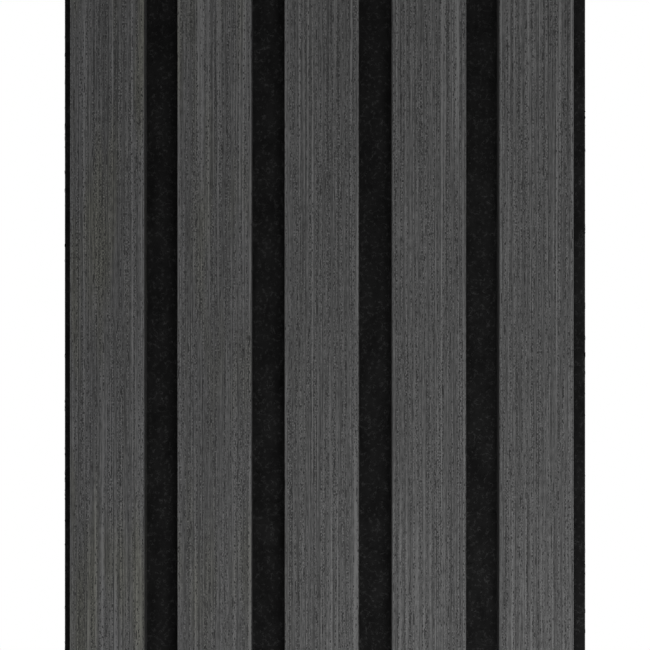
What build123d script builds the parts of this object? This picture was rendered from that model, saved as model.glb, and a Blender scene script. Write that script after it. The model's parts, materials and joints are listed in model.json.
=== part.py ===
from build123d import *
import os

# Acoustic slat wall panel: upright slats side by side on a board of black felt.
# Each slat is a wood-fibre core with one sheet of veneer folded round its face and its two sides.
# Wire staples, driven in from behind, pass through the felt and hold the slats to it.
#
# Frame: +Z runs up the slats, their faces look towards -Y, and the origin is the centre of the
# back face of the felt, which lies against the wall. All sizes are in millimetres.

# The panel
PANEL_LENGTH = 600.0
SLAT_COUNT = 5
SLAT_PITCH = 40.0

# A slat, measured over its veneer
SLAT_WIDTH = 27.7
SLAT_THICKNESS = 12.0
VENEER_THICKNESS = 0.5
CORE_ARRIS_RADIUS = 0.3

# The felt board, and how far it stands past the outer slats
FELT_THICKNESS = 9.0
FELT_MARGIN_LEFT = 3.4
FELT_MARGIN_RIGHT = 5.8

# The staples, with the crown lying across the slat and pressed into the back of the felt
STAPLES_PER_SLAT = 4
STAPLE_END_DISTANCE = 45.0
STAPLE_CROWN_WIDTH = 11.2
STAPLE_LEG_LENGTH = 16.0
STAPLE_POINT_LENGTH = 1.6
STAPLE_BEND_RADIUS = 0.5
STAPLE_SINK = 0.5
WIRE_THICKNESS = 0.6
WIRE_WIDTH = 1.2
STAPLE_CLEARANCE = 0.05

# Worked out from the sizes above
CORE_WIDTH = SLAT_WIDTH - 2 * VENEER_THICKNESS
CORE_THICKNESS = SLAT_THICKNESS - VENEER_THICKNESS
SLAT_SPAN = (SLAT_COUNT - 1) * SLAT_PITCH + SLAT_WIDTH
FELT_WIDTH = FELT_MARGIN_LEFT + SLAT_SPAN + FELT_MARGIN_RIGHT
FIRST_SLAT_X = -FELT_WIDTH / 2 + FELT_MARGIN_LEFT + SLAT_WIDTH / 2
SLAT_BACK_Y = -FELT_THICKNESS
STAPLE_SPACING = (PANEL_LENGTH - 2 * STAPLE_END_DISTANCE) / (STAPLES_PER_SLAT - 1)


def slat_x(index):
    """Place of the middle of one slat, counted from the left."""
    return FIRST_SLAT_X + index * SLAT_PITCH


def staple_z(index):
    """Height of one staple, counted from the bottom."""
    return -PANEL_LENGTH / 2 + STAPLE_END_DISTANCE + index * STAPLE_SPACING


def eased_section(width, thickness, arris_radius):
    """Section of a slat: a bar with its back edge on the X axis and its two front corners rounded."""
    section = Rectangle(width, thickness, align=(Align.CENTER, Align.MAX))
    front_corners = section.vertices().group_by(Axis.Y)[0]
    return fillet(front_corners, arris_radius)


def full_length(section):
    """The section carried from the bottom end of the panel to the top end."""
    return Pos(0, 0, -PANEL_LENGTH / 2) * extrude(section, PANEL_LENGTH)


def core_section():
    return eased_section(CORE_WIDTH, CORE_THICKNESS, CORE_ARRIS_RADIUS)


def veneer_section():
    """One sheet of even thickness, folded round the face and the sides of the core."""
    outside = eased_section(SLAT_WIDTH, SLAT_THICKNESS, CORE_ARRIS_RADIUS + VENEER_THICKNESS)
    return outside - core_section()


def staple_section():
    """A flat wire bent into a U, with its crown on the X axis and a chisel point on each leg."""
    outer = STAPLE_CROWN_WIDTH / 2
    inner = outer - WIRE_THICKNESS
    outline = Polygon(
        (-outer, 0),
        (outer, 0),
        (outer, -STAPLE_LEG_LENGTH),
        (inner, -STAPLE_LEG_LENGTH + STAPLE_POINT_LENGTH),
        (inner, -WIRE_THICKNESS),
        (-inner, -WIRE_THICKNESS),
        (-inner, -STAPLE_LEG_LENGTH + STAPLE_POINT_LENGTH),
        (-outer, -STAPLE_LEG_LENGTH),
        align=None,
    )
    inner_corners = outline.vertices().group_by(Axis.Y)[-2]
    outline = fillet(inner_corners, STAPLE_BEND_RADIUS)
    outer_corners = outline.vertices().group_by(Axis.Y)[-1]
    return fillet(outer_corners, STAPLE_BEND_RADIUS + WIRE_THICKNESS)


def staple():
    """One staple, with its crown sunk below the back face of the felt."""
    wire = extrude(staple_section(), WIRE_WIDTH / 2, both=True)
    return Pos(0, -STAPLE_SINK, 0) * wire


def staple_channel():
    """The room that a staple takes: slits for its legs, and a groove for its crown open to the back."""
    slits = extrude(
        offset(staple_section(), STAPLE_CLEARANCE, kind=Kind.INTERSECTION),
        WIRE_WIDTH / 2 + STAPLE_CLEARANCE,
        both=True,
    )
    groove = Box(
        STAPLE_CROWN_WIDTH + 2 * STAPLE_CLEARANCE,
        STAPLE_SINK + WIRE_THICKNESS,
        WIRE_WIDTH + 2 * STAPLE_CLEARANCE,
        align=(Align.CENTER, Align.MAX, Align.CENTER),
    )
    return Pos(0, -STAPLE_SINK, 0) * slits + groove


def staple_row(piece):
    """Copies of one piece at the height of every staple of a slat."""
    return [Pos(0, 0, staple_z(i)) * piece for i in range(STAPLES_PER_SLAT)]


def felt_backing():
    """The board that carries the slats, with the channel of every staple."""
    board = Box(FELT_WIDTH, FELT_THICKNESS, PANEL_LENGTH, align=(Align.CENTER, Align.MAX, Align.CENTER))
    channels = staple_row(staple_channel())
    return board - [Pos(slat_x(i), 0, 0) * channel for i in range(SLAT_COUNT) for channel in channels]


def slat_core():
    """The wood-fibre bar of a slat, with the slits that the staple legs cut in its back."""
    bar = Pos(0, SLAT_BACK_Y, 0) * full_length(core_section())
    return bar - staple_row(staple_channel())


def slat_veneer():
    return Pos(0, SLAT_BACK_Y, 0) * full_length(veneer_section())


def staples():
    """Every staple of the panel, as separate solids."""
    row = staple_row(staple())
    return Compound([Pos(slat_x(i), 0, 0) * one for i in range(SLAT_COUNT) for one in row])


def panel():
    """Each piece of the panel by its name."""
    pieces = {"felt_backing": felt_backing(), "staples": staples()}
    core = slat_core()
    veneer = slat_veneer()
    for i in range(SLAT_COUNT):
        pieces[f"slat_{i + 1}_core"] = Pos(slat_x(i), 0, 0) * core
        pieces[f"slat_{i + 1}_veneer"] = Pos(slat_x(i), 0, 0) * veneer
    return pieces


os.makedirs("parts", exist_ok=True)
for name, piece in panel().items():
    export_step(piece, f"parts/{name}.step")
    print(name, len(piece.solids()), "solids", round(piece.volume), "mm3")
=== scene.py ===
# %% [markdown]
# # An acoustic slat wall panel
# Five upright slats stand side by side on a board of black felt. Each slat is a bar of wood-fibre board
# with a sheet of dark grey veneer folded round its face and its two sides. The felt shows in the gaps.
#
# The solids of the panel come ready-made, at their true size. This lesson gives them the finish of the
# real thing: the grain and the pores of the veneer, the fibres of the felt, the sawn ends of the cores
# and the zinc on the staples.

# %% Load the solids
import json
import math

import bmesh
import bpy
import numpy as np
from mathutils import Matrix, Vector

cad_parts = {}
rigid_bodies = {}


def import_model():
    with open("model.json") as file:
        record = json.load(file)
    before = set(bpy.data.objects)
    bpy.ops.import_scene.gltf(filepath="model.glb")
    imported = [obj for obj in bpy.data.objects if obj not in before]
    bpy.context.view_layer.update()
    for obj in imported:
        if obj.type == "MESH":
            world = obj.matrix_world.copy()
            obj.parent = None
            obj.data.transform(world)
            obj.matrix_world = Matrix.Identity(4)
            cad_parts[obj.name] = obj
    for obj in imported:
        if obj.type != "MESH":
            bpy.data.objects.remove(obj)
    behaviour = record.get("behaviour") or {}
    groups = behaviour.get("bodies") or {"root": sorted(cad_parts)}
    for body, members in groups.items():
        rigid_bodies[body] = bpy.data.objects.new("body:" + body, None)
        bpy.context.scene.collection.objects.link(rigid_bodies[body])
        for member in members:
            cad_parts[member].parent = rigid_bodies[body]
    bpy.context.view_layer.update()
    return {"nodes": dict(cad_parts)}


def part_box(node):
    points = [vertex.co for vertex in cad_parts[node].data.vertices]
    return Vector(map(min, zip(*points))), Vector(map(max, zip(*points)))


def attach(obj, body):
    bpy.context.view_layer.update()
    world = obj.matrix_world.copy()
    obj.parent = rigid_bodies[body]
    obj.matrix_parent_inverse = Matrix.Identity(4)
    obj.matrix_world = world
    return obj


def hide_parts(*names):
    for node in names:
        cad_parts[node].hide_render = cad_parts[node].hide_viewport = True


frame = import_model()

print("Solids:", sorted(frame["nodes"]))

# %% [markdown]
# ## Sizes
# Everything is measured in metres, in one frame: Z runs up the slats, their faces look towards -Y, and
# the back of the felt lies in the plane y = 0. Asking the solids for their corners is safer than typing
# their sizes again, because the finish then follows when a size changes.

# %% Measure the solids
MM = 0.001

slat_count = sum(name.endswith("_veneer") for name in frame["nodes"])
slat_boxes = [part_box(f"slat_{number + 1}_veneer") for number in range(slat_count)]
core_low, core_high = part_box("slat_1_core")
felt_low, felt_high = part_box("felt_backing")

slat_width = slat_boxes[0][1].x - slat_boxes[0][0].x
slat_thickness = slat_boxes[0][1].y - slat_boxes[0][0].y
veneer_thickness = core_low.x - slat_boxes[0][0].x
slat_centres = np.array([(low.x + high.x) / 2 for low, high in slat_boxes])
slat_pitch = slat_centres[1] - slat_centres[0]
face_y = felt_low.y - slat_thickness
bottom, top = felt_low.z, felt_high.z
print(f"{slat_count} slats, {slat_width / MM:.1f} mm wide, {slat_pitch / MM:.1f} mm apart")

# %% [markdown]
# ## Colours and nodes
# Colours are written as people mix them on a screen, in sRGB hex. Light adds up in linear numbers, so
# one function turns the first into the second.
#
# A material is a web of small nodes. One helper adds any kind of node, with its settings, and links its
# sockets to the nodes before it, which keeps each recipe below short enough to read.

# %% Colours and nodes
def linear(hex_colour):
    """sRGB hex to linear RGBA: each channel c is c / 12.92 up to 0.04045, and above it
    ((c + 0.055) / 1.055) to the power 2.4."""
    channels = [int(hex_colour[i:i + 2], 16) / 255 for i in (1, 3, 5)]
    return [c / 12.92 if c <= 0.04045 else ((c + 0.055) / 1.055) ** 2.4 for c in channels] + [1.0]


def add_node(owner, kind, *values, output=0, stops=None, **named):
    """Adds a node to the web of a material or a world, and returns one of its outputs.

    values go into its first sockets in order. Among the named ones, a name with a capital is a socket,
    with _ for a space, and any other is a setting of the node. A value may be another node's output.
    stops gives a colour ramp its places and colours, in rising order."""
    web = owner.node_tree
    node = web.nodes.new("ShaderNode" + kind)
    for name in filter(str.islower, named):
        setattr(node, name, named[name])
    filled = list(zip(node.inputs, values))
    for name in named:
        if not name.islower():
            filled.append((node.inputs[name.replace("_", " ")], named[name]))
    for socket, value in filled:
        if isinstance(value, bpy.types.NodeSocket):
            web.links.new(value, socket)
        else:
            socket.default_value = value
    if stops:
        ramp = node.color_ramp.elements
        while len(ramp) < len(stops):
            ramp.new(1.0)
        for stop, (place, colour) in zip(ramp, stops.items()):
            stop.position = place
            stop.color = linear(colour)
    return node.outputs[output] if node.outputs else node


def blank(collection, name):
    """A material or a world whose web is still empty."""
    owner = collection.new(name)
    owner.use_nodes = True
    owner.node_tree.nodes.clear()
    return owner


# %% [markdown]
# Most of what makes a surface look real is irregular: fibres, pores, clouds of stain. One kind of random
# pattern does for all of them, because it can be stretched to the size of any mark.

# %% Random marks
def random_marks(owner, place, size, shift=0.0, detail=0.0, fineness=0.5):
    """Random marks of a given size, as numbers that spread evenly about 0.5.

    place is a position in millimetres, and size the length of one mark along each of its axes. shift
    keeps two patterns from falling on each other. detail adds sets of finer marks, each half as large as
    the set before it and fineness times as strong."""
    scaled = add_node(
        owner, "Mapping", place, Location=(shift, shift, shift), Scale=[1 / length for length in size])
    return add_node(owner, "TexNoise", Vector=scaled, Scale=1.0, Detail=detail, Roughness=fineness)


def place_in_mm(owner):
    """The place of a point of the object, in millimetres."""
    place = add_node(owner, "TexCoord", output="Object")
    return add_node(owner, "VectorMath", place, Scale=1 / MM, operation="SCALE")


# %% [markdown]
# ## Surfaces from grids
# A sheet of veneer or a board of felt is a smooth surface with fine irregularities. It could be sculpted
# by hand, but a formula over a grid of points says exactly what shape it is, and numpy works out all the
# points at once. A closed piece is made of several such sheets, welded where their edges meet.

# %% Meshes
WELD_DISTANCE = 0.001 * MM
SHARP_ANGLE = math.radians(40)
LATTICE_SIZE = 256   # how many random heights there are each way before they come again


def points_of(mesh):
    """All points of a mesh, as rows of XYZ."""
    points = np.empty(len(mesh.vertices) * 3, np.float32)
    mesh.vertices.foreach_get("co", points)
    return points.reshape(-1, 3).astype(float)


def new_piece(mesh):
    """An object for a mesh, at the origin, shaded smooth."""
    mesh.polygons.foreach_set("use_smooth", np.ones(len(mesh.polygons), bool))
    piece = bpy.data.objects.new(mesh.name, mesh)
    bpy.context.scene.collection.objects.link(piece)
    return piece


def welded_piece(name, sheets, reshape=None):
    """One closed mesh from sheets whose edges meet.

    A sheet is a pair of arrays: its points, as rows by columns by XYZ, and its map, as rows by columns
    by two. Four neighbours in a grid make a face. reshape then moves all the welded points at once."""
    grids, maps, faces, first = [], [], [], 0
    for grid, flat_map in sheets:
        rows, columns = grid.shape[:2]
        index = first + np.arange(rows * columns).reshape(rows, columns)
        corners = [index[:-1, :-1], index[:-1, 1:], index[1:, 1:], index[1:, :-1]]
        grids.append(grid.reshape(-1, 3))
        maps.append(flat_map.reshape(-1, 2))
        faces.append(np.stack(corners, axis=-1).reshape(-1, 4))
        first += rows * columns
    faces = np.concatenate(faces)
    mesh = bpy.data.meshes.new(name)
    mesh.from_pydata(np.concatenate(grids), [], faces)
    layer = mesh.uv_layers.new(name="sheet")
    layer.uv.foreach_set("vector", np.concatenate(maps)[faces.ravel()].astype(np.float32).ravel())

    shell = bmesh.new()
    shell.from_mesh(mesh)
    bmesh.ops.remove_doubles(shell, verts=shell.verts, dist=WELD_DISTANCE)
    bmesh.ops.recalc_face_normals(shell, faces=shell.faces)
    shell.to_mesh(mesh)
    shell.free()
    if reshape:
        moved = reshape(points_of(mesh))
        mesh.vertices.foreach_set("co", moved.astype(np.float32).ravel())
    piece = new_piece(mesh)
    mesh.set_sharp_from_angle(angle=SHARP_ANGLE)
    print(f"{name}: {len(mesh.polygons)} faces")
    return piece


def smooth_step(t):
    """Rises smoothly from 0 at 0 to 1 at 1: 3 t^2 - 2 t^3."""
    return t * t * (3 - 2 * t)


def rolling_noise(across, along, width, length, seed):
    """Smooth random heights from -1 to 1. Random numbers sit on a lattice, width by length apart.
    Between four of them the height is their mean, weighted by the smooth step."""
    lattice = np.random.default_rng(seed).uniform(-1, 1, (LATTICE_SIZE, LATTICE_SIZE))
    column, row = across / width, along / length
    i, j = np.floor(column).astype(int), np.floor(row).astype(int)
    s, t = smooth_step(column - i), smooth_step(row - j)
    left, right = i % LATTICE_SIZE, (i + 1) % LATTICE_SIZE
    low, high = j % LATTICE_SIZE, (j + 1) % LATTICE_SIZE
    below = lattice[left, low] * (1 - s) + lattice[right, low] * s
    above = lattice[left, high] * (1 - s) + lattice[right, high] * s
    return below * (1 - t) + above * t


# %% [markdown]
# ## The veneer sheets
# A slat's veneer is one thin sheet, folded over the two front arrises of the core. A cube with bevelled
# edges would have the outline, but no place along its surface to hang the grain on. So the sheet is
# unrolled first: s is the distance along the sheet, measured across the grain from the middle of the
# face, and z the distance along the grain. The formula bends that flat sheet round the core, and its
# flat coordinates stay with it as a map, so the grain runs over the arrises as on the real thing.
#
# The surface of brushed veneer is not flat. Soft spring wood lies a few hundredths of a millimetre lower
# than the hard late wood, in long narrow furrows. That relief is part of the shape here.

# %% Shape of one sheet
FOLD_RADIUS = 0.8 * MM
FURROW_WIDTH = 0.75 * MM
FURROW_LENGTH = 70 * MM
FURROW_DEPTH = 0.03 * MM
SWELL_WIDTH = 5 * MM
SWELL_LENGTH = 120 * MM
SWELL_HEIGHT = 0.05 * MM
FACE_STEP = 0.25 * MM
SIDE_STEP = 0.8 * MM
FOLD_STEPS = 6
ROW_STEP = 6 * MM
SHEET_STEP = 83 * MM   # each slat is cut this far beside the last one, from the same sheet

half_flat = slat_width / 2 - FOLD_RADIUS
fold_length = FOLD_RADIUS * math.pi / 2
side_length = slat_thickness - FOLD_RADIUS


def sheet_stations():
    """Places across the sheet: close together on the face and in the folds, wider on the sides."""
    face = np.linspace(0, half_flat, round(half_flat / FACE_STEP) + 1)
    fold = half_flat + np.linspace(0, fold_length, FOLD_STEPS + 1)[1:]
    side = half_flat + fold_length + np.linspace(0, side_length, round(side_length / SIDE_STEP) + 1)[1:]
    half = np.concatenate([face, fold, side])
    return np.concatenate([-half[:0:-1], half])


def veneer_sheet(number):
    """The folded sheet of one slat, as a closed piece.

    At a distance s from the middle, the sheet has turned by a = (|s| - half_flat) / radius, held between
    0 and a right angle. Its outer face is at x = min(|s|, half_flat) + radius sin a to the side and
    thickness - radius (1 - cos a) - what is left of |s| in front of the felt. It looks along
    (sin a, cos a), and the inner face lies one veneer thickness behind it."""
    s = sheet_stations()
    z = np.linspace(bottom, top, round((top - bottom) / ROW_STEP) + 1)
    s, z = np.meshgrid(s, z)
    turn = np.clip((np.abs(s) - half_flat) / FOLD_RADIUS, 0, math.pi / 2)
    down_side = np.clip(np.abs(s) - half_flat - fold_length, 0, None)
    aside = np.sign(s) * (np.minimum(np.abs(s), half_flat) + FOLD_RADIUS * np.sin(turn))
    ahead = slat_thickness - FOLD_RADIUS * (1 - np.cos(turn)) - down_side

    on_sheet = s + number * SHEET_STEP
    furrows = rolling_noise(on_sheet, z, FURROW_WIDTH, FURROW_LENGTH, seed=11)
    swell = rolling_noise(on_sheet, z, SWELL_WIDTH, SWELL_LENGTH, seed=12)
    relief = FURROW_DEPTH * furrows + SWELL_HEIGHT * swell

    def layer(height):
        x = slat_centres[number] + aside + height * np.sin(turn) * np.sign(s)
        y = felt_low.y - ahead - height * np.cos(turn)
        return np.stack([x, y, z], axis=-1)

    flat_map = np.stack([on_sheet, z], axis=-1) / MM
    outside, inside = layer(relief), layer(-veneer_thickness)
    sheets = [(outside, flat_map), (inside, flat_map)]
    for edge in (0, -1):
        sheets.append((np.stack([outside[:, edge], inside[:, edge]]), np.stack([flat_map[:, edge]] * 2)))
        sheets.append((np.stack([outside[edge], inside[edge]]), np.stack([flat_map[edge]] * 2)))
    return welded_piece(f"slat_{number + 1}_sheet", sheets)


veneer_sheets = [veneer_sheet(number) for number in range(slat_count)]

# %% [markdown]
# ## The veneer's finish
# The veneer is open-pored, stained grey and brushed, under a dead matt lacquer. Close up, four things
# make its look. Fine lines run along the grain, some as long as the slat and some only a few
# millimetres, with a long light streak here and there. Pores are short dark dashes, many in one strip
# and few in the next, and now and then a longer one. Between them the brush has left light and dark
# flecks. And along the arrises the tone is lighter: partly stain worn thin, partly a painted highlight.
#
# An image of wood would repeat and could not follow the folds. Layers of random marks, stretched along
# the grain and read from the sheet's own map, never repeat. Each layer has the width and the length, in
# millimetres, of the mark that it stands for.

# %% Lines and streaks of the grain
LINE_WIDTH = 0.45              # real lines go down to half of this, which would not show
LINES = {300.0: 0.7, 60.0: 0.6, 15.0: 0.55, 3.0: 0.6}      # lengths of the lines, and their strengths
BANDS = (8.0, 400.0, 1.0)      # a broad lighter or darker band
BAND_STRENGTH = 0.2
STREAKS = (1.0, 250.0, 1.0)    # a long light streak
STREAK_RISE = (0.6, 0.72)      # the random number at which a streak begins, and at which it is full
STREAK_TONES = (-0.04, 0.31)   # what is added to the tone beside a streak, and in it


def grain_lines(veneer, sheet):
    """The tone of the wood: 0.5 on average, with bands, lines and light streaks."""
    tone = 0.5 - (BAND_STRENGTH + sum(LINES.values())) / 2
    bands = random_marks(veneer, sheet, BANDS)
    tone = add_node(veneer, "Math", bands, BAND_STRENGTH, tone, operation="MULTIPLY_ADD")
    for length, strength in LINES.items():
        lines = random_marks(veneer, sheet, (LINE_WIDTH, length, 1.0), shift=length)
        tone = add_node(veneer, "Math", lines, strength, tone, operation="MULTIPLY_ADD")
    streaks = random_marks(veneer, sheet, STREAKS, shift=23.0)
    streaks = add_node(veneer, "MapRange", streaks, *STREAK_RISE, *STREAK_TONES)
    return add_node(veneer, "Math", streaks, tone, operation="ADD")


print("Lengths of the grain's lines in mm:", list(LINES))

# %% [markdown]
# Flecks and pores come in strips. A fleck is as light or dark as the square of its random number, so
# most are faint and a few are strong. For the pores the sheet is divided into rooms with one random
# point each, and a pore is the small ellipse round that point.

# %% Flecks and pores
STRIPS = (1.2, 100.0, 1.0)     # a strip that is rich in pores
STRIP_CONTRAST = (7.0, -3.3)   # factor and offset that give the strips clear sides
FLECKS = (0.25, 0.65, 1.0)     # a light or dark fleck of brushed wood
FLECK_CONTRAST = (13.0, 1.5)   # strength that a rich strip adds, and strength elsewhere
PORES = {(1.2, 3.0, 1.0): 0.17, (2.5, 25.0, 1.0): 0.08}    # the room round one, and the share it fills
PORE_MIDDLE = 0.7              # the part of a pore that is fully dark
PORE_TONE = -3.0


def flecked(veneer, sheet, strips, tone):
    """The tone with flecks added: f |f| times the contrast, f being a random number about 0."""
    flecks = random_marks(veneer, sheet, FLECKS, shift=13.0)
    flecks = add_node(veneer, "Math", flecks, 0.5, operation="SUBTRACT")
    clear = add_node(veneer, "Math", flecks, operation="ABSOLUTE")
    contrast = add_node(veneer, "Math", strips, *FLECK_CONTRAST, operation="MULTIPLY_ADD")
    contrast = add_node(veneer, "Math", clear, contrast, operation="MULTIPLY")
    return add_node(veneer, "Math", flecks, contrast, tone, operation="MULTIPLY_ADD")


def pore_marks(veneer, sheet, strips):
    """1 in a pore of a rich strip, and 0 beside it."""
    pores = 0.0
    for room, share in PORES.items():
        rooms = add_node(veneer, "Mapping", sheet, Scale=[1 / length for length in room])
        from_pore = add_node(veneer, "TexVoronoi", voronoi_dimensions="2D", Vector=rooms, Scale=1.0)
        inside = add_node(veneer, "MapRange", from_pore, PORE_MIDDLE * share, share, 1.0, 0.0)
        pores = add_node(veneer, "Math", inside, pores, operation="MAXIMUM")
    return add_node(veneer, "Math", pores, strips, operation="MULTIPLY")


print("Room round a pore in mm:", [room[:2] for room in PORES])

# %% [markdown]
# The map of each slat starts one step further along the sheet. Wrapping that distance brings every slat
# back to the same numbers, so the distance from the nearest fold is the same sum for all of them.

# %% The whole finish
GREYS = {0.0: "#1a1a1a", 0.5: "#414141", 1.0: "#5f5f5f"}   # the stain's colour at each tone
# Along the arrises the tone is lifted: a painted highlight on the folds, partly stain worn thin.
ARRIS_HIGHLIGHT_REACH = 1.6             # how far from the middle of a fold the painted highlight, partly wear, reaches
ARRIS_HIGHLIGHT_TONE = 0.2
TINTS = (7.0, 70.0, 1.0)       # a stretch where the stain is slightly warm or cool
TINT_COLOURS = {0.3: "#fdfdff", 0.5: "#ffffff", 0.7: "#fffff1"}
TINTED = (40.0, 170.0)         # where on the sheet such stretches fade out
PORE_RELIEF = -0.8
GRAIN_RELIEF = 0.05 * MM


def arris_highlight_and_wear(veneer, on_sheet):
    """Painted highlight on the arrises, partly stain worn thin: most mid-fold, nothing past its reach."""
    half_step = SHEET_STEP / 2 / MM
    across = add_node(veneer, "Math", on_sheet, half_step, -half_step, operation="WRAP")
    across = add_node(veneer, "Math", across, operation="ABSOLUTE")
    fold_middle = (half_flat + fold_length / 2) / MM
    from_fold = add_node(veneer, "Math", across, fold_middle, operation="SUBTRACT")
    from_fold = add_node(veneer, "Math", from_fold, operation="ABSOLUTE")
    return add_node(
        veneer, "MapRange", from_fold, 0.0, ARRIS_HIGHLIGHT_REACH, ARRIS_HIGHLIGHT_TONE, 0.0,
        interpolation_type="SMOOTHSTEP")


def stained_veneer():
    """Open-pored wood veneer, dyed grey, brushed and sealed with dead matt lacquer. The eye sees
    lines and pores first, and hardly any gloss."""
    veneer = blank(bpy.data.materials, "stained open-pored veneer, brushed, matt lacquer")
    sheet = add_node(veneer, "UVMap", uv_map="sheet")
    on_sheet = add_node(veneer, "SeparateXYZ", sheet, output="X")

    strips = random_marks(veneer, sheet, STRIPS, shift=40.0, detail=2.0, fineness=1.0)
    strips = add_node(veneer, "Math", strips, *STRIP_CONTRAST, operation="MULTIPLY_ADD", use_clamp=True)
    tone = flecked(veneer, sheet, strips, grain_lines(veneer, sheet))
    pores = pore_marks(veneer, sheet, strips)
    tone = add_node(veneer, "Math", pores, PORE_TONE, tone, operation="MULTIPLY_ADD")
    # The painted highlight along the arrises, partly worn stain.
    arris_highlight = arris_highlight_and_wear(veneer, on_sheet)
    tone = add_node(veneer, "Math", arris_highlight, tone, operation="ADD")

    grey = add_node(veneer, "ValToRGB", tone, stops=GREYS)
    tint = random_marks(veneer, sheet, TINTS, shift=53.0, detail=1.0)
    tint = add_node(veneer, "ValToRGB", tint, stops=TINT_COLOURS)
    tinted = add_node(veneer, "MapRange", on_sheet, *TINTED, 1.0, 0.0)
    colour = add_node(veneer, "MixRGB", tinted, grey, tint, blend_type="MULTIPLY")

    height = add_node(veneer, "Math", pores, PORE_RELIEF, tone, operation="MULTIPLY_ADD")
    bump = add_node(veneer, "Bump", Strength=0.5, Distance=GRAIN_RELIEF, Height=height)
    shader = add_node(
        veneer, "BsdfPrincipled", Base_Color=colour, Roughness=0.62, Specular_IOR_Level=0.25,
        Normal=bump)
    add_node(veneer, "OutputMaterial", shader)
    return veneer


veneer_finish = stained_veneer()
for number, sheet in enumerate(veneer_sheets):
    sheet.data.materials.append(veneer_finish)
    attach(sheet, "root")
    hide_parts(f"slat_{number + 1}_veneer")
print("Veneer on", len(veneer_sheets), "slats")

# %% [markdown]
# ## The felt board
# The board is a thick mat of needled polyester fibre. It is soft: it is squeezed flat under the slats
# and swells a little in the gaps between them, its cut edges are slightly rounded, and each staple has
# drawn a dent in its back. A plain box shows none of that.
#
# Six flat grids make the box, finer where a dent or the side of a slat needs it. Once they are welded,
# one formula moves all the points together, so the seams stay shut.
#
# The solid of the staples says where they are. The heights of its points fall into runs with wide gaps
# between them, and each run is one row of staples.

# %% Find the staples
COARSE_STEP = 4 * MM

crown_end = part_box("staples")[1]
levels = np.unique(points_of(frame["nodes"]["staples"].data)[:, 2].round(5))   # to 0.01 mm
runs = np.split(levels, np.flatnonzero(np.diff(levels) > COARSE_STEP) + 1)
staple_heights = np.array([(run[0] + run[-1]) / 2 for run in runs])
wire_half_width = (runs[0][-1] - runs[0][0]) / 2
crown_half_length = crown_end.x - slat_centres[-1]
print("Staple heights in mm:", (staple_heights / MM).round(1))

# %% Shape of the felt board
SWELL = 0.4 * MM
SWELL_REACH = 1.5 * MM
SWELL_FADE = 4           # power with which the swell fades on the way to the back
EDGE_ROUNDING = 0.5 * MM
EDGE_PULL = 0.3          # how far an edge is drawn in, as a share of the rounding
LUMP_SIZE = 9 * MM
LUMP_HEIGHT = 0.12 * MM
DENT_REACH = 1.7 * MM
DENT_PAST_CROWN = 0.3 * MM   # half the thickness of the wire
DENT_FADE = 8            # power with which the dents fade on the way to the front


def front_of_felt(x, z):
    """How far the front of the felt stands forward: nothing under a slat, and beside it
    (SWELL + lumps) (1 - e^(-d / reach)), d being the distance from the nearest slat."""
    from_slat = np.abs(x[..., None] - slat_centres).min(axis=-1) - slat_width / 2
    lumps = LUMP_HEIGHT * rolling_noise(x, z, LUMP_SIZE, LUMP_SIZE, seed=21)
    return (SWELL + lumps) * (1 - np.exp(-np.clip(from_slat, 0, None) / SWELL_REACH))


def back_of_felt(x, z):
    """How far the back of the felt lies in: low lumps, and round each crown a smooth dent that reaches
    the middle of the wire's thickness."""
    aside = np.clip(np.abs(x[..., None] - slat_centres) - crown_half_length, 0, None).min(axis=-1)
    above = np.clip(np.abs(z[..., None] - staple_heights) - wire_half_width, 0, None).min(axis=-1)
    near = np.clip(1 - np.hypot(aside, above) / DENT_REACH, 0, 1)
    dent = (DENT_PAST_CROWN - crown_end.y) * smooth_step(near)
    lumps = LUMP_HEIGHT * (1 + rolling_noise(x, z, LUMP_SIZE, LUMP_SIZE, seed=22)) / 2
    return dent + lumps


def soften(points):
    """Moves the points of the flat box. The front and the back move by the two functions above. Near an
    edge each point also moves inwards, by EDGE_PULL (1 - p) (1 - q) of the rounding, p and q being its
    distances from the two faces that meet there as shares of the rounding."""
    low, high = np.array(felt_low), np.array(felt_high)
    middle = (low + high) / 2
    depth = (high - low) / 2 - np.abs(points - middle)
    near = np.clip(1 - depth / EDGE_ROUNDING, 0, 1)
    other = np.stack([near[:, [1, 2]].max(1), near[:, [0, 2]].max(1), near[:, [0, 1]].max(1)], axis=1)
    moved = points - np.sign(points - middle) * EDGE_PULL * EDGE_ROUNDING * near * other

    x, y, z = points.T
    through = (y - felt_low.y) / (felt_high.y - felt_low.y)
    forward = front_of_felt(x, z) * (1 - through) ** SWELL_FADE
    moved[:, 1] -= forward + back_of_felt(x, z) * through ** DENT_FADE
    return moved


# %% [markdown]
# The grids need close lines only where the surface bends: beside a slat, round a staple and in the
# rounding of an edge.

# %% Build the felt board
FINE_ACROSS = 0.6 * MM
FINE_ALONG = 0.55 * MM
EDGE_STATIONS = np.array([0.4, 1.0])   # places in the rounding, as shares of it
THROUGH_STATIONS = 9


def fine_near(low, high, places, reach, fine):
    """Stations from low to high: COARSE_STEP apart, and fine apart within reach of each place."""
    stations = [np.linspace(low, high, round((high - low) / COARSE_STEP) + 1)]
    stations += [place + np.arange(-reach, reach + fine / 2, fine) for place in places]
    stations += [low + EDGE_ROUNDING * EDGE_STATIONS, high - EDGE_ROUNDING * EDGE_STATIONS]
    found = np.unique(np.concatenate(stations).clip(low, high))
    found = found[np.diff(found, prepend=low - 1) > fine / 2]
    found[-1] = high
    return found


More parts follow.
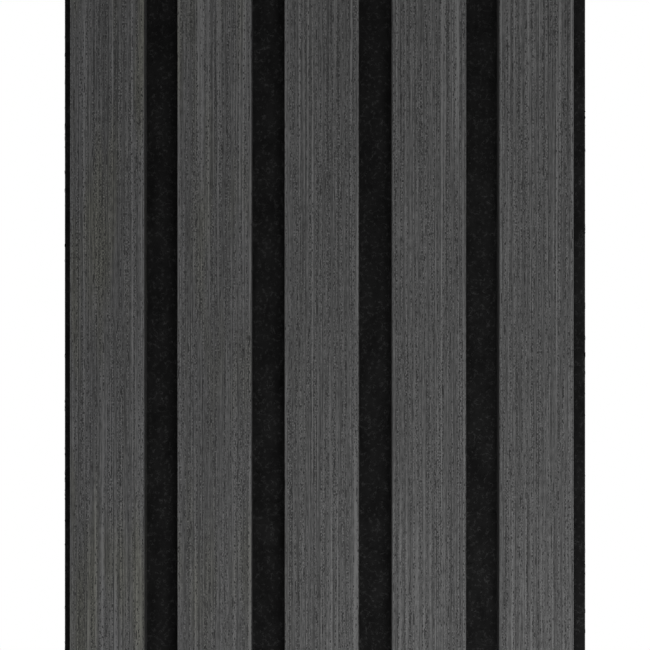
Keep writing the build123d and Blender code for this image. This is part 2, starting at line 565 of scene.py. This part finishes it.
def felt_board():
    """A box of six grids, welded and softened."""
    slat_sides = np.concatenate([slat_centres - slat_width / 2, slat_centres + slat_width / 2])
    crown_ends = np.concatenate([slat_centres - crown_half_length, slat_centres + crown_half_length])
    xs = fine_near(felt_low.x, felt_high.x, [*slat_sides, *crown_ends], DENT_REACH, FINE_ACROSS)
    zs = fine_near(bottom, top, staple_heights, DENT_REACH + wire_half_width, FINE_ALONG)
    ys = np.linspace(felt_low.y, felt_high.y, THROUGH_STATIONS)

    def flat(u, v, fixed_axis, fixed):
        axes = [axis for axis in range(3) if axis != fixed_axis]
        first, second = np.meshgrid(u, v)
        grid = np.empty(first.shape + (3,))
        grid[..., axes[0]], grid[..., axes[1]], grid[..., fixed_axis] = first, second, fixed
        return grid, np.stack([first, second], axis=-1) / MM

    sheets = [flat(xs, zs, 1, y) for y in (ys[0], ys[-1])]
    sheets += [flat(ys, zs, 0, x) for x in (xs[0], xs[-1])]
    sheets += [flat(xs, ys, 2, z) for z in (zs[0], zs[-1])]
    return welded_piece("felt_board", sheets, reshape=soften)


board = felt_board()

# %% [markdown]
# ## The felt's fibres
# Needled felt is a tangle of fine crimped fibres, and some of them always stand off the surface in low
# loops. A hair system could scatter them, but real tubes are carried over to any other program. Each
# fibre starts at a random place and heading, and turns as it goes. The true fibres are about 0.03 mm
# thick. They are drawn 0.11 mm thick here, because finer ones would not show.

# %% Paths and tubes of fibres
FIBRE_THICKNESS = 0.11 * MM
FIBRE_RINGS = 6
FIBRE_SIDES = 3
THICKNESS_RANGE = (0.7, 1.3)   # the thinnest and the thickest fibre, as shares of the usual thickness
TAPER_RANGE = (0.1, 0.9)       # the part of a sine's arch that gives a fibre its thin ends
TURN_SPREAD = 1.6              # how much the fibres turn from end to end, in radians
WAVE_RANGE = (0.2, 0.9)        # least and greatest swing of the wave on top of the turn, in radians
TINY = 1e-12                   # added to a length before it divides, so that it is never 0


def wandering(rng, count, lengths):
    """Flat random paths, fibres by rings by two, from the origin: the heading starts anywhere and turns
    at an even rate with a wave on top, and the path is the running sum of its steps."""
    along = np.linspace(0, 1, FIBRE_RINGS)
    length = rng.uniform(*lengths, (count, 1))
    start = rng.uniform(0, 2 * math.pi, (count, 1))
    turn = rng.normal(0, TURN_SPREAD, (count, 1)) * along
    swing = rng.uniform(*WAVE_RANGE, (count, 1))
    wave = swing * np.sin(2 * math.pi * (along + rng.uniform(0, 1, (count, 1))))
    heading = start + turn + wave
    step = length / (FIBRE_RINGS - 1)
    steps = np.stack([np.cos(heading), np.sin(heading)], axis=-1) * step[:, :, None]
    return np.cumsum(steps, axis=1) - steps[:, :1]


def loops(rng, count, heights):
    """Height of each ring above the felt: an arch h sin(pi u) that starts and ends just inside it."""
    arch = np.sin(math.pi * np.linspace(0, 1, FIBRE_RINGS))
    return rng.uniform(*heights, (count, 1)) * arch - FIBRE_THICKNESS / 4


def fibre_tubes(name, paths, outward, seed):
    """Thin tubes along paths, an array of fibres by rings by XYZ.

    At each point the tube's ring is three corners on a circle square to the direction t of the path,
    spanned by t x n and (t x n) x t, n being the outward direction of the felt. It thins towards both
    ends as the square root of sin(pi u), with u running through TAPER_RANGE along the fibre."""
    count, rings = paths.shape[:2]
    ahead = np.gradient(paths, axis=1)
    ahead /= np.linalg.norm(ahead, axis=2, keepdims=True)
    sideways = np.cross(ahead, outward)
    sideways /= np.linalg.norm(sideways, axis=2, keepdims=True) + TINY
    upwards = np.cross(sideways, ahead)
    angle = (np.arange(FIBRE_SIDES) * 2 * math.pi / FIBRE_SIDES)[:, None]
    share = np.sqrt(np.sin(math.pi * np.linspace(*TAPER_RANGE, rings)))
    widest = np.random.default_rng(seed).uniform(*THICKNESS_RANGE, (count, 1)) * FIBRE_THICKNESS / 2
    thick = widest * share
    ring = np.cos(angle) * sideways[:, :, None] + np.sin(angle) * upwards[:, :, None]
    points = paths[:, :, None] + thick[:, :, None, None] * ring

    index = np.arange(count * rings * FIBRE_SIDES).reshape(count, rings, FIBRE_SIDES)
    onward = np.roll(index, -1, axis=2)
    walls = np.stack([index[:, :-1], onward[:, :-1], onward[:, 1:], index[:, 1:]], axis=-1)
    walls = walls.reshape(-1, 4)
    ends = np.concatenate([index[:, 0, ::-1], index[:, -1]])
    mesh = bpy.data.meshes.new(name)
    mesh.from_pydata(points.reshape(-1, 3), [], walls.tolist() + ends.tolist())
    print(f"{name}: {count} fibres, {2 * len(walls) + len(ends)} triangles")
    return new_piece(mesh)


# %% Lay the fibres
FRONT_FIBRES = 5000
FRONT_LENGTHS = (1.2 * MM, 4.0 * MM)
FRONT_HEIGHTS = (0.03 * MM, 0.5 * MM)
BACK_FIBRES = 5000
BACK_LENGTHS = (1.5 * MM, 5.0 * MM)
BACK_HEIGHTS = (0.02 * MM, 0.25 * MM)


def front_fibres():
    """Fibres in the gaps and on the two margins. They stay between the slats."""
    rng = np.random.default_rng(seed=31)
    starts = np.concatenate([[felt_low.x], slat_centres + slat_width / 2])
    ends = np.concatenate([slat_centres - slat_width / 2, [felt_high.x]])
    widths = ends - starts
    strip = rng.choice(len(starts), FRONT_FIBRES, p=widths / widths.sum())
    path = wandering(rng, FRONT_FIBRES, FRONT_LENGTHS)
    x = (starts[strip] + rng.uniform(0, 1, FRONT_FIBRES) * widths[strip])[:, None] + path[..., 0]
    x = np.clip(x, (starts[strip] + FIBRE_THICKNESS)[:, None], (ends[strip] - FIBRE_THICKNESS)[:, None])
    z = np.clip(rng.uniform(bottom, top, FRONT_FIBRES)[:, None] + path[..., 1], bottom, top)
    y = felt_low.y - front_of_felt(x, z) - loops(rng, FRONT_FIBRES, FRONT_HEIGHTS)
    paths = np.stack([x, y, z], axis=-1)
    return fibre_tubes("felt_fibres_front", paths, outward=np.array([0, -1, 0]), seed=32)


def back_fibres():
    """Fibres on the back, pressed nearly flat."""
    rng = np.random.default_rng(seed=33)
    path = wandering(rng, BACK_FIBRES, BACK_LENGTHS)
    x = rng.uniform(felt_low.x, felt_high.x, BACK_FIBRES)[:, None] + path[..., 0]
    z = rng.uniform(bottom, top, BACK_FIBRES)[:, None] + path[..., 1]
    x = np.clip(x, felt_low.x + EDGE_ROUNDING, felt_high.x - EDGE_ROUNDING)
    z = np.clip(z, bottom + EDGE_ROUNDING, top - EDGE_ROUNDING)
    y = felt_high.y - back_of_felt(x, z) + loops(rng, BACK_FIBRES, BACK_HEIGHTS)
    paths = np.stack([x, y, z], axis=-1)
    return fibre_tubes("felt_fibres_back", paths, outward=np.array([0, 1, 0]), seed=34)


fibre_pieces = [front_fibres(), back_fibres()]

# %% [markdown]
# ## The felt's finish
# Black polyester felt has no gloss at all. What shows is a faint cloudiness, where the web is thicker
# or thinner, and a scribble of single fibres that catch the light. That glint is painted here as lighter
# lines: a contour line of smooth noise is a curved, thin scribble, so two sets of such lines stand for
# the fibres that lie in the surface. The mat is laid in layers, so the clouds are flat: on a cut edge
# they show as fine layers.

# %% Needled polyester felt
CURLS = (1.2, 1.2, 1.2)        # the bend of a fibre that lies in the surface
CURL_SHIFTS = (0.0, 31.0)      # one for each of the two sets of such fibres
CURL_CONTRAST = (-28.0, 1.0)   # factor and offset that leave a thin line along each contour
BREAKS = (1.6, 1.6, 1.6)       # a place where such fibres show, or none does
BREAK_CONTRAST = (6.0, -2.9)   # factor and offset that give such places clear sides
CLOUDS = (6.0, 0.5, 9.0)       # a thicker or thinner place in the web
CLOUD_CONTRAST = (1.3, 0.37)   # factor and offset from the random number to the brightness
FUZZ = (0.5, 0.5, 0.5)         # fine roughness
FUZZ_RELIEF = 0.12 * MM


def needled_felt(name, base, fibre):
    """Polyester fibre, dyed black in the mass and needled into a mat. It drinks light: no gloss. The fibre
    colour, lighter than base, is a painted glint: the soft bloom where single fibres catch the light."""
    felt = blank(bpy.data.materials, name)
    place = place_in_mm(felt)

    lines = 0.0
    for shift in CURL_SHIFTS:
        contour = random_marks(felt, place, CURLS, shift, detail=1.5)
        contour = add_node(felt, "Math", contour, 0.5, operation="SUBTRACT")
        contour = add_node(felt, "Math", contour, operation="ABSOLUTE")
        contour = add_node(
            felt, "Math", contour, *CURL_CONTRAST, operation="MULTIPLY_ADD", use_clamp=True)
        lines = add_node(felt, "Math", contour, lines, operation="MAXIMUM")
    seen = random_marks(felt, place, BREAKS, shift=77.0)
    seen = add_node(felt, "Math", seen, *BREAK_CONTRAST, operation="MULTIPLY_ADD", use_clamp=True)
    lines = add_node(felt, "Math", lines, seen, operation="MULTIPLY")

    # The lighter lines are a painted glint of single fibres catching the light.
    colour = add_node(felt, "MixRGB", lines, linear(base), linear(fibre))
    cloud = random_marks(felt, place, CLOUDS, shift=5.0, detail=2.0)
    cloud = add_node(felt, "Math", cloud, *CLOUD_CONTRAST, operation="MULTIPLY_ADD")
    colour = add_node(felt, "VectorMath", colour, Scale=cloud, operation="SCALE")
    fuzz = random_marks(felt, place, FUZZ, shift=11.0, detail=2.0)
    height = add_node(felt, "Math", lines, fuzz, operation="ADD")
    bump = add_node(felt, "Bump", Strength=0.7, Distance=FUZZ_RELIEF, Height=height)
    shader = add_node(
        felt, "BsdfPrincipled", Base_Color=colour, Roughness=1.0, Specular_IOR_Level=0.0,
        Normal=bump)
    add_node(felt, "OutputMaterial", shader)
    return felt


board.data.materials.append(needled_felt("needled polyester felt, black", "#1a1a1a", "#343434"))
# Loose fibres are a shade lighter than the board: a painted sheen where they stand up into the light.
fibre_finish = needled_felt("loose polyester fibre, black", "#272727", "#363636")
for piece in fibre_pieces:
    piece.data.materials.append(fibre_finish)
for piece in [board, *fibre_pieces]:
    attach(piece, "root")
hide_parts("felt_backing")
print("Felt pieces:", 1 + len(fibre_pieces))

# %% [markdown]
# ## The cores
# The cores are medium-density fibreboard: fine wood fibres and glue, pressed hot. They show only where
# the slats are sawn off. A board is pressed hardest near its two faces, so it is darker and smoother
# there and paler and looser in the middle. The saw leaves fine marks across the end.

# %% Sawn fibreboard
FIBREBOARD_COLOURS = {0.1: "#5f4630", 0.5: "#8d6f50", 0.9: "#b3946f"}
SPECKS = (0.35, 0.35, 0.35)    # a bundle of fibres
MOTTLE = (3.0, 1.2, 3.0)       # a denser or looser place
SAW_MARKS = (40.0, 0.5, 40.0)  # the trace of a saw tooth
SPECK_STRENGTH = 0.9
MOTTLE_STRENGTH = 0.5
SAW_STRENGTH = 0.25
BASE_TONE = -0.32              # what the layers are added to
SKIN_TONE = -0.35              # what the tone loses at the very face of the board
SKIN_POWER = 3.0               # how near to the face that loss stays
SPECK_RELIEF = 0.06 * MM


def sawn_fibreboard():
    """Medium-density fibreboard, pressed and sawn. The eye sees a warm brown, finely speckled, with
    darker skins and faint saw marks."""
    fibreboard = blank(bpy.data.materials, "medium-density fibreboard, sawn")
    place = place_in_mm(fibreboard)

    depth = add_node(fibreboard, "SeparateXYZ", place, output="Y")
    skin = add_node(fibreboard, "MapRange", depth, core_low.y / MM, core_high.y / MM, -1.0, 1.0)
    skin = add_node(fibreboard, "Math", skin, operation="ABSOLUTE")
    skin = add_node(fibreboard, "Math", skin, SKIN_POWER, operation="POWER")
    specks = random_marks(fibreboard, place, SPECKS, shift=3.0, detail=3.0)
    mottle = random_marks(fibreboard, place, MOTTLE, shift=9.0, detail=2.0)
    saw = random_marks(fibreboard, place, SAW_MARKS, shift=21.0, detail=1.0)
    tone = BASE_TONE
    layers = [
        (mottle, MOTTLE_STRENGTH), (specks, SPECK_STRENGTH), (saw, SAW_STRENGTH), (skin, SKIN_TONE)]
    for layer, strength in layers:
        tone = add_node(fibreboard, "Math", layer, strength, tone, operation="MULTIPLY_ADD")
    colour = add_node(fibreboard, "ValToRGB", tone, stops=FIBREBOARD_COLOURS)
    height = add_node(fibreboard, "Math", specks, saw, operation="ADD")
    bump = add_node(fibreboard, "Bump", Strength=0.6, Distance=SPECK_RELIEF, Height=height)
    shader = add_node(
        fibreboard, "BsdfPrincipled", Base_Color=colour, Roughness=0.85, Specular_IOR_Level=0.3,
        Normal=bump)
    add_node(fibreboard, "OutputMaterial", shader)
    return fibreboard


core_finish = sawn_fibreboard()
for number in range(slat_count):
    core = frame["nodes"][f"slat_{number + 1}_core"]
    core.data.materials.clear()
    core.data.materials.append(core_finish)
print("Sawn ends on", slat_count, "cores")

# %% [markdown]
# ## The staples
# Staples are flat wire with a thin coat of zinc. Zinc is a pale bluish metal, and drawing the wire
# leaves fine dull scratches along it. The solids have the right shape, so they only get a finish.

# %% Galvanised wire
SCRATCHES = (3.0, 0.1, 0.1)    # a scratch that runs along the crown
SCRATCH_RANGE = (0.3, 0.7)     # the random numbers of a clean place and of a deep scratch
ROUGHNESS_RANGE = (0.3, 0.5)   # how rough the zinc is at those two
ZINC_COLOURS = {0.3: "#9a9ca0", 0.7: "#c9ccd0"}


def galvanised_wire():
    """Steel wire, zinc coated, drawn flat. The eye sees a soft grey shine with fine dull streaks."""
    zinc = blank(bpy.data.materials, "galvanised steel wire, drawn")
    streaks = random_marks(zinc, place_in_mm(zinc), SCRATCHES, detail=2.0)
    colour = add_node(zinc, "ValToRGB", streaks, stops=ZINC_COLOURS)
    rough = add_node(zinc, "MapRange", streaks, *SCRATCH_RANGE, *ROUGHNESS_RANGE)
    shader = add_node(zinc, "BsdfPrincipled", Base_Color=colour, Metallic=1.0, Roughness=rough)
    add_node(zinc, "OutputMaterial", shader)
    return zinc


wire = frame["nodes"]["staples"]
wire.data.materials.clear()
wire.data.materials.append(galvanised_wire())
print("Zinc on the staples")

# %% [markdown]
# ## Studio
# The photograph has an even white ground and soft light, and the slats grow lighter towards the lower
# right. So a broad soft lamp stands low in front of the panel and is turned away to the right. The panel
# lies in the edge of its light, which falls off evenly there. A plain white world gives the rest.

# %% World
AMBIENT = 0.55


def seen_directly(owner):
    """1 for a ray that shows the background to the eye, in a mirror or through glass, and 0 for one that
    only gathers light."""
    seen = 0.0
    for ray in ("Is Camera Ray", "Is Glossy Ray", "Is Transmission Ray"):
        of_kind = add_node(owner, "LightPath", output=ray)
        seen = add_node(owner, "Math", of_kind, seen, operation="MAXIMUM")
    return seen


world = blank(bpy.data.worlds, "white studio")
strength = add_node(world, "MapRange", seen_directly(world), To_Min=AMBIENT, To_Max=1.0)
sky = add_node(world, "Background", Color=linear("#ffffff"), Strength=strength)
add_node(world, "OutputWorld", sky)
bpy.context.scene.world = world
print("World strength for light:", AMBIENT)

# %% Floor
FLOOR_RADIUS = 1.0
FLOOR_RINGS = 12
FLOOR_SPOKES = 65
FLOOR_GLOW = 0.4         # how much of the pure white is mixed in near the object
FADE_RANGE = (0.3, 0.9)  # where that starts to grow, and where all is white, as shares of the radius


def pale_floor():
    """A disc of rings and spokes: a ring at r times the radius and a spoke at an angle a meet at x = sin a
    and y = cos a, both times r and the radius. The disc is pale and matt near the object, where it takes
    the shadow, and fades to the white of the background towards its rim."""
    rings, spokes = np.linspace(0, 1, FLOOR_RINGS), np.linspace(0, 2 * math.pi, FLOOR_SPOKES)
    ring, spoke = np.meshgrid(rings, spokes)
    x, y = FLOOR_RADIUS * ring * np.sin(spoke), FLOOR_RADIUS * ring * np.cos(spoke)
    grid = np.stack([x, y, np.full_like(x, bottom)], axis=-1)
    disc = welded_piece("floor", [(grid, grid[..., :2])])

    pale = blank(bpy.data.materials, "pale matt floor")
    flat = add_node(pale, "VectorMath", place_in_mm(pale), (1, 1, 0), operation="MULTIPLY")
    far = add_node(pale, "VectorMath", flat, operation="LENGTH", output="Value")
    start, end = [share * FLOOR_RADIUS / MM for share in FADE_RANGE]
    fade = add_node(
        pale, "MapRange", far, start, end, FLOOR_GLOW, 1.0, interpolation_type="SMOOTHSTEP")
    shown = add_node(pale, "Math", fade, seen_directly(pale), operation="MULTIPLY")
    matt = add_node(pale, "BsdfDiffuse", linear("#f2f2f2"))
    white = add_node(pale, "Emission", linear("#ffffff"), 1.0)
    add_node(pale, "OutputMaterial", add_node(pale, "MixShader", shown, matt, white))
    disc.data.materials.append(pale)
    return disc


floor = pale_floor()

# %% [markdown]
# The lamp is so low that the floor would cut off half of it, and would be burnt white by the other
# half. Light linking keeps the two apart: the lamp lights only the panel, and only the panel shades it.

# %% Lamp
LAMP_PLACE = (0.13, -0.56, -0.4)
LAMP_AIM = (0.9, 0.16, -0.24)
LAMP_WIDTH = 0.5
LAMP_POWER = 4.55


def aimed(thing, place, aim):
    """Puts a lamp or a camera at a place and turns it to look at another."""
    x, y, z = np.array(aim) - np.array(place)
    thing.location = place
    thing.rotation_euler = (math.atan2(math.hypot(x, y), -z), 0, math.atan2(-x, y))
    bpy.context.scene.collection.objects.link(thing)
    return thing


lamp_data = bpy.data.lights.new("broad soft lamp", "AREA")
lamp_data.shape = "DISK"
lamp_data.size = LAMP_WIDTH
lamp_data.energy = LAMP_POWER
lamp = aimed(bpy.data.objects.new("broad soft lamp", lamp_data), LAMP_PLACE, LAMP_AIM)
lamp.visible_camera = False

panel_only = bpy.data.collections.new("lit by the lamp")
for thing in bpy.context.scene.objects:
    if thing.type == "MESH" and thing != floor:
        panel_only.objects.link(thing)
lamp.light_linking.receiver_collection = panel_only
lamp.light_linking.blocker_collection = panel_only

# %% [markdown]
# ## Camera
# The photograph looks straight at the panel. It shows a sliver of side on the outer slats and none on
# the middle one, so the camera stands in front of the middle, fairly near. From 0.8 m a slat side of
# 12 mm is seen about as wide as there. The picture is as high as 242 mm of slat face, and the panel runs
# out of it above and below.

# %% Camera
CAMERA_DISTANCE = 0.8
SENSOR_WIDTH = 36.0
PICTURE_PIXELS = 650
SLAT_PITCH_PIXELS = 107.4

picture_width = PICTURE_PIXELS / SLAT_PITCH_PIXELS * slat_pitch
camera_data = bpy.data.cameras.new("camera")
camera_data.sensor_width = SENSOR_WIDTH
camera_data.lens = SENSOR_WIDTH * CAMERA_DISTANCE / picture_width
camera_place = (0.0, face_y - CAMERA_DISTANCE, 0.0)
camera = aimed(bpy.data.objects.new("camera", camera_data), camera_place, (0.0, face_y, 0.0))
bpy.context.scene.camera = camera
bpy.context.scene.view_settings.view_transform = "Standard"
print(f"Lens {camera_data.lens:.1f} mm, picture {picture_width / MM:.1f} mm wide at the slat faces")
